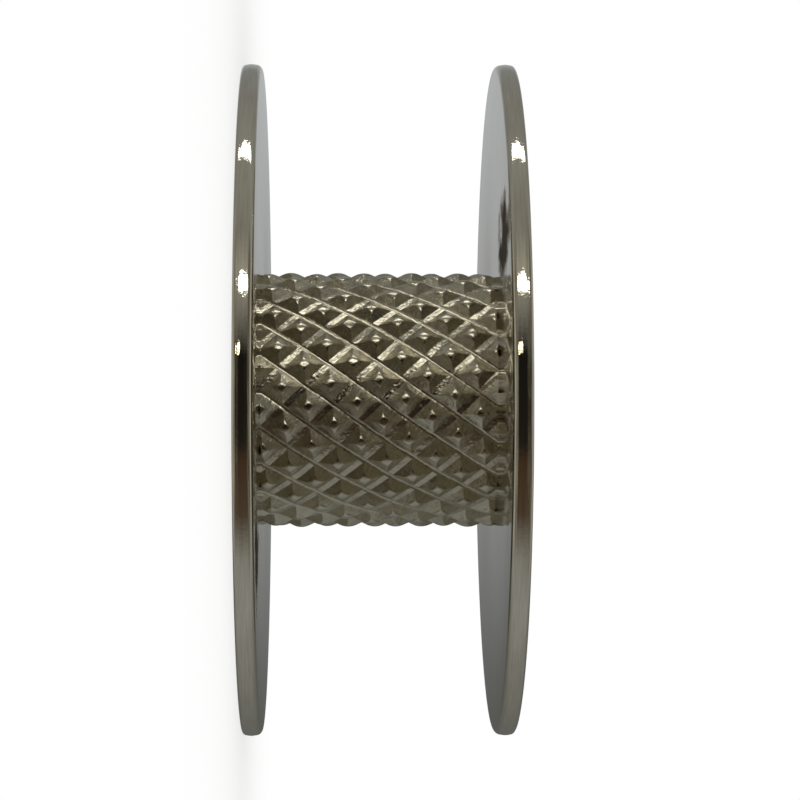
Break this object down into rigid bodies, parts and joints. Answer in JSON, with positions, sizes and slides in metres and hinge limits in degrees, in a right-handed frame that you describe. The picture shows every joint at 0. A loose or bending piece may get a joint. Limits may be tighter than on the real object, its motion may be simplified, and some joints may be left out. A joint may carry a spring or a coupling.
{
  "type": "sewing machine bobbin",
  "caption": "Metal sewing machine bobbin: a knurled tubular hub between thin round flanges, with a plain through bore.",
  "frame": {"origin": "centre of the lower flange's outer face, which it stands on", "axes": "+Z along the bore axis, from the lower flange to the upper flange; X and Y across the flanges"},
  "size_m": [0.021, 0.021, 0.0084],
  "materials": {
    "hub_plating": "bright nickel plate over rolled knurling",
    "flange_plating": "bright nickel plate, polished"
  },
  "bodies": {
    "root": {"knurled_hub": "hub_plating", "lower_flange": "flange_plating", "upper_flange": "flange_plating"}
  },
  "joints": []
}
